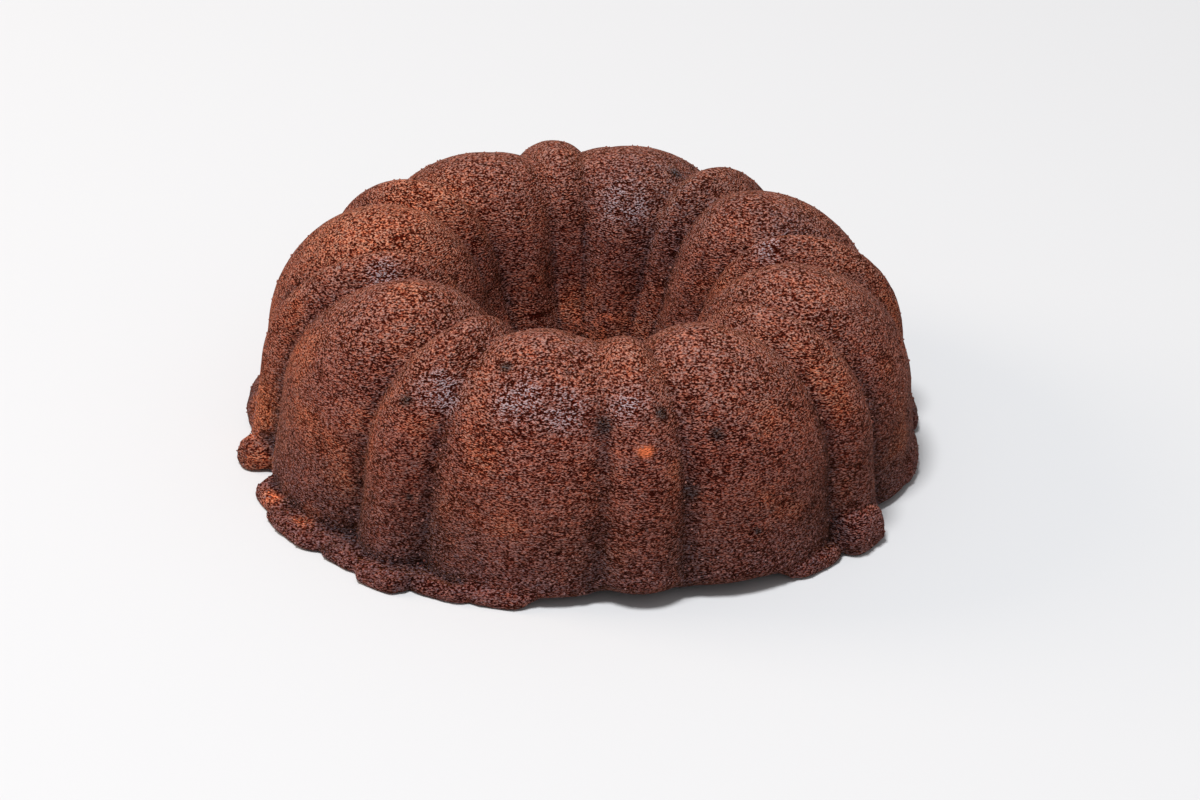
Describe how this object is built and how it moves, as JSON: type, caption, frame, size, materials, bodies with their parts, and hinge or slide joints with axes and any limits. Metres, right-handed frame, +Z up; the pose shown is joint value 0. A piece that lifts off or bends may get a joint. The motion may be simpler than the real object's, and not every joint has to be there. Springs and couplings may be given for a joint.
{
  "type": "rum cake",
  "caption": "Dark rum cake baked in a fluted tube pan: a ring with wide and narrow lobes, a tube hole and an uneven lip round its foot.",
  "frame": {"origin": "on the resting plane, under the middle of the cake's outline", "axes": "+Z up along the tube hole, -Y towards the side that the picture shows in front"},
  "size_m": [0.2566, 0.2564, 0.0783],
  "materials": {
    "crust": "matt, finely pitted dark red-brown cake crust"
  },
  "bodies": {
    "root": {"cake": "crust"}
  },
  "joints": []
}
